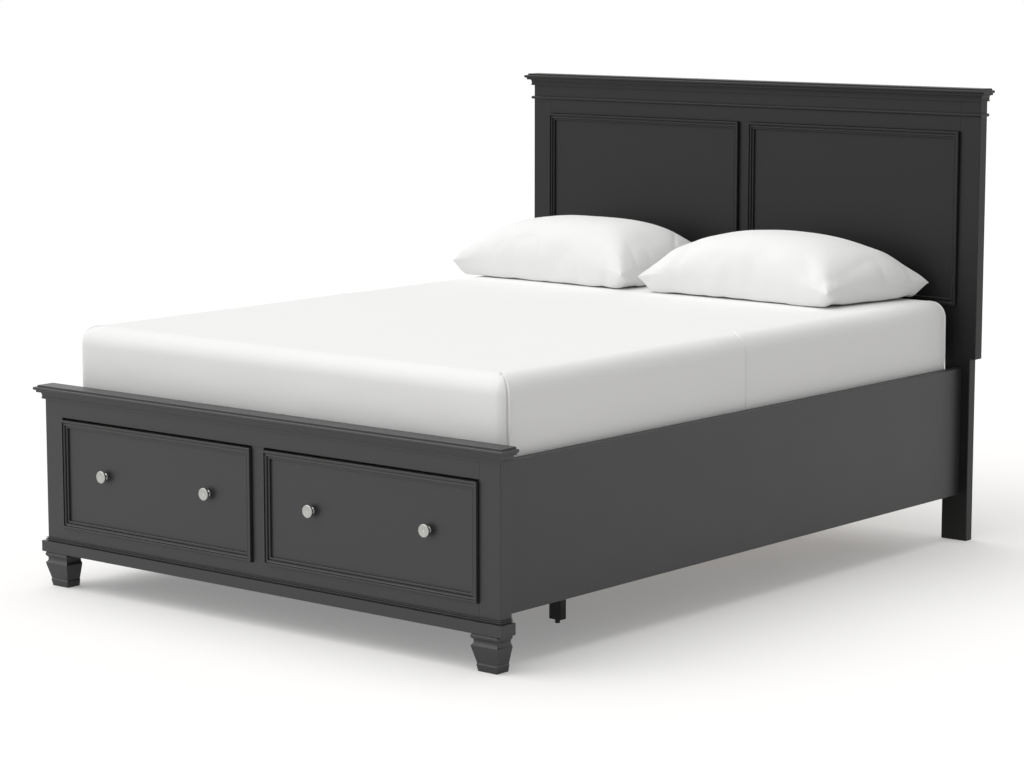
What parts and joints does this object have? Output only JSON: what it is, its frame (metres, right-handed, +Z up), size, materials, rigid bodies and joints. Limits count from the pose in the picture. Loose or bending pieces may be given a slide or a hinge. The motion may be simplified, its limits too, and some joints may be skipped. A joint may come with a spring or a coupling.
{
  "type": "storage bed",
  "caption": "Panelled bed with a tall headboard and a low footboard that holds two sliding drawers, with slatted base, mattress, fitted sheet and pillows.",
  "frame": {"origin": "on the floor, under the middle of the bed", "axes": "+Z up, -Y towards the foot end with the drawers, +Y towards the headboard, X across the width; left is -X, as seen from the foot end"},
  "size_m": [1.713, 2.194, 1.332],
  "materials": {
    "painted_wood": "satin charcoal black paint",
    "case_board": "matt charcoal laminate",
    "bare_pine": "planed, unfinished",
    "drawer_wood": "clear sealed",
    "satin_nickel": "satin nickel",
    "zinc_steel": "zinc plated",
    "black_plastic": "matt",
    "mattress_cover": "knitted cover",
    "white_cotton": "plain woven cotton"
  },
  "bodies": {
    "bed": {"footboard_post_left": "painted_wood", "footboard_post_right": "painted_wood", "footboard_top_rail": "painted_wood", "footboard_bottom_rail": "painted_wood", "footboard_centre_stile": "painted_wood", "footboard_cap": "painted_wood", "footboard_cap_moulding": "painted_wood", "footboard_base_moulding": "painted_wood", "footboard_foot_left": "painted_wood", "footboard_foot_right": "painted_wood", "headboard_post_left": "painted_wood", "headboard_post_right": "painted_wood", "headboard_top_rail": "painted_wood", "headboard_bottom_rail": "painted_wood", "headboard_centre_stile": "painted_wood", "headboard_panel_left": "painted_wood", "headboard_panel_right": "painted_wood", "headboard_panel_mouldings": "painted_wood", "headboard_cap": "painted_wood", "headboard_cap_moulding": "painted_wood", "headboard_bead_moulding": "painted_wood", "headboard_leg_left": "painted_wood", "headboard_leg_right": "painted_wood", "side_rail_left": "painted_wood", "side_rail_right": "painted_wood", "support_legs": "painted_wood", "slats": "bare_pine", "slat_ledgers": "bare_pine", "centre_beam": "bare_pine", "case_side_left": "case_board", "case_side_right": "case_board", "case_divider": "case_board", "case_bottom": "case_board", "case_back": "case_board", "case_top": "case_board", "rail_hook_plates": "zinc_steel", "leg_glides": "black_plastic", "runner_case_members": "zinc_steel"},
    "drawer_left": {"drawer_front_left": "painted_wood", "drawer_front_moulding_left": "painted_wood", "drawer_box_sides_left": "drawer_wood", "drawer_box_ends_left": "drawer_wood", "drawer_bottom_left": "drawer_wood", "knobs_left": "satin_nickel", "knob_screws_left": "zinc_steel", "runner_drawer_members_left": "zinc_steel"},
    "drawer_right": {"drawer_front_right": "painted_wood", "drawer_front_moulding_right": "painted_wood", "drawer_box_sides_right": "drawer_wood", "drawer_box_ends_right": "drawer_wood", "drawer_bottom_right": "drawer_wood", "knobs_right": "satin_nickel", "knob_screws_right": "zinc_steel", "runner_drawer_members_right": "zinc_steel"},
    "runner_left": {"runner_middle_members_left": "zinc_steel"},
    "runner_right": {"runner_middle_members_right": "zinc_steel"},
    "mattress": {"mattress": "mattress_cover", "fitted_sheet": "white_cotton"},
    "pillow_left": {"pillow_left": "white_cotton"},
    "pillow_right": {"pillow_right": "white_cotton"}
  },
  "joints": [
    {"name": "drawer_left_slide", "type": "slide", "parent": "bed", "child": "drawer_left", "axis": [0, -1, 0], "range_m": [0, 0.44]},
    {"name": "runner_left_slide", "type": "slide", "parent": "bed", "child": "runner_left", "axis": [0, -1, 0], "range_m": [0, 0.22]},
    {"name": "drawer_right_slide", "type": "slide", "parent": "bed", "child": "drawer_right", "axis": [0, -1, 0], "range_m": [0, 0.44]},
    {"name": "runner_right_slide", "type": "slide", "parent": "bed", "child": "runner_right", "axis": [0, -1, 0], "range_m": [0, 0.22]},
    {"name": "mattress_lift", "type": "slide", "parent": "bed", "child": "mattress", "axis": [0, 0, 1], "range_m": [0, 0.3]},
    {"name": "pillow_left_lift", "type": "slide", "parent": "mattress", "child": "pillow_left", "axis": [0, 0, 1], "range_m": [0, 0.25]},
    {"name": "pillow_right_lift", "type": "slide", "parent": "mattress", "child": "pillow_right", "axis": [0, 0, 1], "range_m": [0, 0.25]}
  ],
  "couplings": [
    {"joint": "runner_left_slide", "follows": "drawer_left_slide", "ratio": 0.5},
    {"joint": "runner_right_slide", "follows": "drawer_right_slide", "ratio": 0.5}
  ]
}
